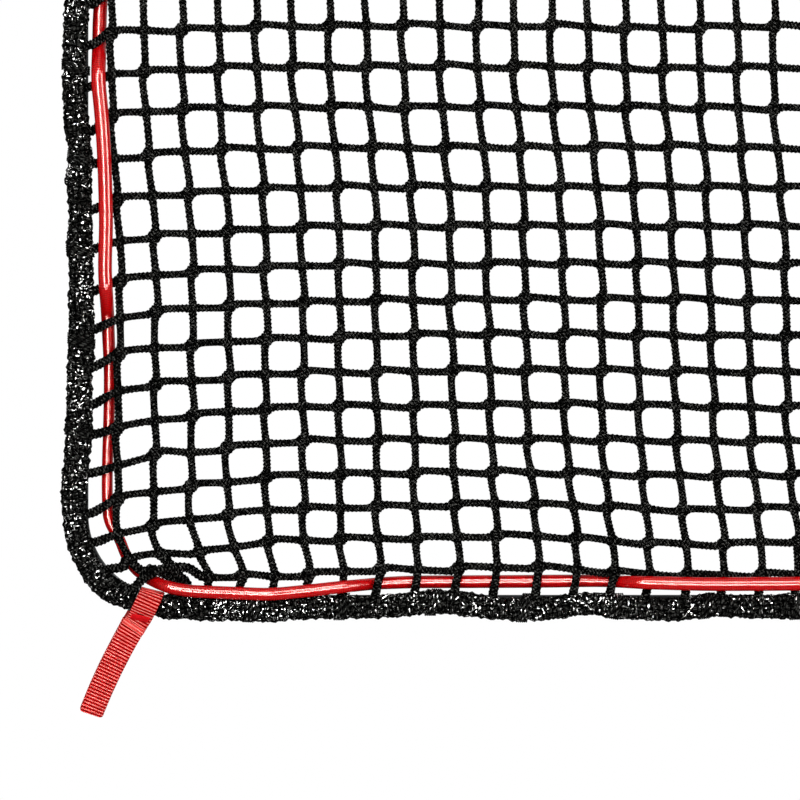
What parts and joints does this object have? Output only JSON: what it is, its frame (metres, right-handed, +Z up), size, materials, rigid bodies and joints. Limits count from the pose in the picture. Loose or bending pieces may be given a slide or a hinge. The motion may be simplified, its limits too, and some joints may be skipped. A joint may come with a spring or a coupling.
{
  "type": "pitch back rebounder",
  "caption": "Square rope-bordered net, woven round with shock cord and lashed to a round-cornered tube ring that tilts on knobs between two folding leg frames.",
  "frame": {"origin": "on the floor, below the middle of the base", "axes": "+Z up, the net faces -Y, +X to the right seen from the front"},
  "size_m": [1.5344, 0.893, 1.5635],
  "materials": {
    "powder_coat": "black powder coat, satin with a fine orange peel",
    "zinc": "zinc plated",
    "brass": "turned",
    "rubber": "matte moulded",
    "plastic": "moulded, lightly textured",
    "twine": "braided black polyester with grey flecks",
    "rope": "plaited glossy black cord",
    "elastic": "braided red sleeve over rubber, slight sheen",
    "webbing": "ribbed red webbing, stitched"
  },
  "bodies": {
    "stand_front": {"front_leg_left": "powder_coat", "front_leg_right": "powder_coat", "front_elbow_left": "powder_coat", "front_elbow_right": "powder_coat", "front_cross_tube": "powder_coat", "front_foot_left": "rubber", "front_foot_right": "rubber", "front_saddles_left": "plastic", "front_saddles_right": "plastic", "stop_plate_left": "powder_coat", "stop_plate_right": "powder_coat", "front_leg_caps": "plastic", "front_frame_screws": "zinc"},
    "stand_rear": {"rear_leg_left": "powder_coat", "rear_leg_right": "powder_coat", "rear_elbow_left": "powder_coat", "rear_elbow_right": "powder_coat", "rear_cross_tube": "powder_coat", "rear_foot_left": "rubber", "rear_foot_right": "rubber", "rear_saddles_left": "plastic", "rear_saddles_right": "plastic", "rear_leg_caps": "plastic", "rear_frame_screws": "zinc"},
    "net_panel": {"ring_left_tube": "powder_coat", "ring_right_tube": "powder_coat", "ring_top_tube": "powder_coat", "ring_bottom_tube": "powder_coat", "ring_elbow_bottom_left": "powder_coat", "ring_elbow_bottom_right": "powder_coat", "ring_elbow_top_left": "powder_coat", "ring_elbow_top_right": "powder_coat", "ring_screws": "zinc", "pivot_bolt_left": "zinc", "pivot_bolt_right": "zinc", "ring_saddles_left": "plastic", "ring_saddles_right": "plastic", "spacer_tube_left": "powder_coat", "spacer_tube_right": "powder_coat", "flange_washer_left": "zinc", "flange_washer_right": "zinc", "friction_washer_left": "rubber", "friction_washer_right": "rubber", "knob_washers": "zinc", "net": "twine", "border_rope": "rope", "lashings": "rope", "shock_cord": "elastic", "cord_ferrule": "powder_coat", "tab_loop_left": "webbing", "tab_loop_right": "webbing"},
    "knob_left": {"knob_left": "plastic", "knob_insert_left": "brass"},
    "knob_right": {"knob_right": "plastic", "knob_insert_right": "brass"},
    "tab_left": {"tab_tail_left": "webbing"},
    "tab_right": {"tab_tail_right": "webbing"}
  },
  "joints": [
    {"name": "rear_fold", "type": "hinge", "parent": "stand_front", "child": "stand_rear", "pos_m": [0, 0, 0.95], "axis": [-1, 0, 0], "range_deg": [0, 47.8]},
    {"name": "ring_tilt", "type": "hinge", "parent": "stand_front", "child": "net_panel", "pos_m": [0, 0, 0.95], "axis": [1, 0, 0], "range_deg": [-90, 90]},
    {"name": "knob_left_turn", "type": "hinge", "parent": "net_panel", "child": "knob_left", "pos_m": [-0.75, 0, 0.95], "axis": [-1, 0, 0], "range_deg": [0, 720]},
    {"name": "knob_right_turn", "type": "hinge", "parent": "net_panel", "child": "knob_right", "pos_m": [0.75, 0, 0.95], "axis": [1, 0, 0], "range_deg": [0, 720]},
    {"name": "tab_left_swing", "type": "hinge", "parent": "net_panel", "child": "tab_left", "pos_m": [-0.54724, -0.0192, 0.33377], "axis": [0.9715, 0, -0.2368], "range_deg": [-70, 70]},
    {"name": "tab_right_swing", "type": "hinge", "parent": "net_panel", "child": "tab_right", "pos_m": [0.54724, -0.0192, 0.33377], "axis": [0.9715, 0, 0.2368], "range_deg": [-70, 70]}
  ]
}
